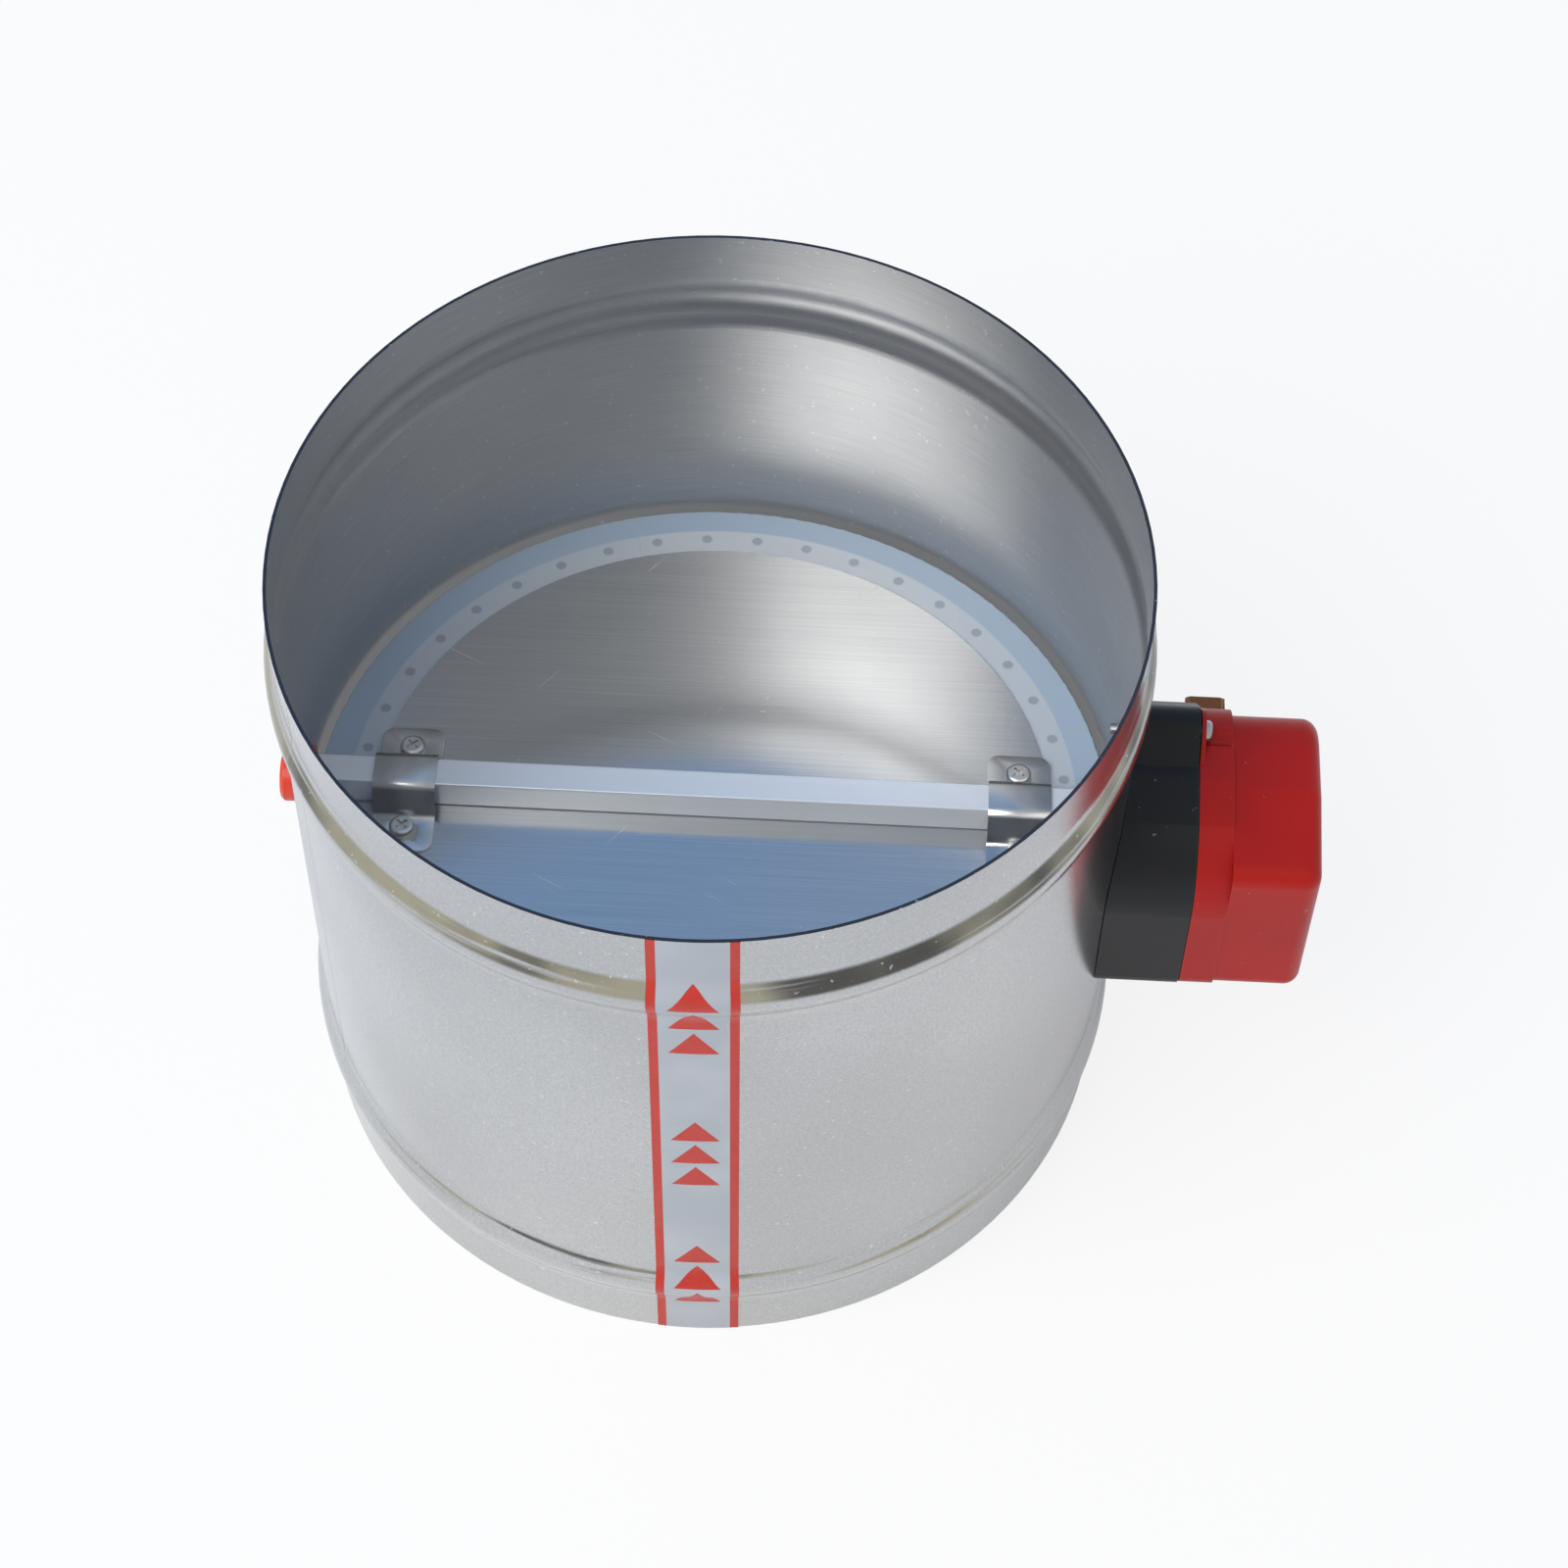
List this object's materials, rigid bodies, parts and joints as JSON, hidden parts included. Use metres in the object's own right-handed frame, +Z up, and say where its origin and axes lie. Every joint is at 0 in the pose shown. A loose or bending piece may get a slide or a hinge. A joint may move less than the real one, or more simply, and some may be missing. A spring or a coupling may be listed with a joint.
{
  "type": "volume control damper",
  "caption": "Round stainless duct damper with a sealed butterfly blade on a square shaft, turned by a geared electric actuator on the side.",
  "frame": {"origin": "centre of the casing's lower edge, on the duct axis", "axes": "+Z up the duct axis with the air flow, +X along the damper shaft out to the actuator, -Y towards the airflow tape"},
  "size_m": [0.3775, 0.3065, 0.27],
  "materials": {
    "stainless_polished": "polished outside, satin inside",
    "stainless_satin": "satin sheet",
    "clamp_steel": "bright rolled strip",
    "bar_aluminium": "satin bar",
    "zinc": "bright zinc",
    "tape": "printed self-adhesive tape with red lines and arrowheads",
    "silicone": "translucent silicone",
    "bush_plastic": "moulded red-orange plastic",
    "housing_black": "satin black moulding",
    "housing_red": "glossy red moulding",
    "gasket_rubber": "black rubber",
    "gear_plastic": "natural acetal",
    "gear_brass": "machined brass",
    "pin_steel": "ground steel",
    "motor_can": "plated steel can",
    "cam_plastic": "blue moulding",
    "switch_plastic": "black moulding",
    "board": "green laminate",
    "components": "moulded components",
    "terminal_plastic": "green terminal block",
    "gland_plastic": "amber-brown plastic"
  },
  "bodies": {
    "casing": {"casing": "stainless_polished", "flow_tape": "tape", "actuator_base": "housing_black", "actuator_cover": "housing_red", "cover_gasket": "gasket_rubber", "cover_screws": "zinc", "mounting_screws": "zinc", "idler_spindle": "pin_steel", "motor": "motor_can", "gear_plate": "stainless_satin", "limit_switches": "switch_plastic", "board_pillars": "gear_brass", "plate_screw": "zinc", "circuit_board": "board", "board_components": "components", "board_screws": "zinc", "terminal_block": "terminal_plastic", "gland_body": "gland_plastic", "gland_seal": "gasket_rubber", "gland_nut": "gland_plastic", "gland_locknut": "gland_plastic"},
    "blade": {"blade_disc_upper": "stainless_satin", "blade_seal": "silicone", "blade_disc_lower": "stainless_satin", "damper_shaft": "bar_aluminium", "saddle_clamp_left": "clamp_steel", "saddle_clamp_right": "clamp_steel", "clamp_screws": "zinc", "clamp_nuts": "zinc", "bush_left": "bush_plastic", "bush_right": "bush_plastic", "damper_gear": "gear_plastic", "position_cam": "cam_plastic"},
    "idler": {"idler_gear": "gear_plastic"},
    "pinion": {"motor_pinion": "gear_brass"}
  },
  "joints": [
    {"name": "damper_shaft", "type": "hinge", "parent": "casing", "child": "blade", "pos_m": [0, 0, 0.1335], "axis": [1, 0, 0], "range_deg": [-86.65, 3.35]},
    {"name": "idler_spin", "type": "hinge", "parent": "casing", "child": "idler", "pos_m": [0.164, -0.018, 0.10495], "axis": [1, 0, 0], "range_deg": [-12, 260]},
    {"name": "motor_spin", "type": "hinge", "parent": "casing", "child": "pinion", "pos_m": [0.166, 0.002, 0.10495], "axis": [1, 0, 0], "range_deg": [-650, 30]}
  ],
  "couplings": [
    {"joint": "idler_spin", "follows": "damper_shaft", "ratio": -2.8571},
    {"joint": "motor_spin", "follows": "damper_shaft", "ratio": 7.3469}
  ]
}
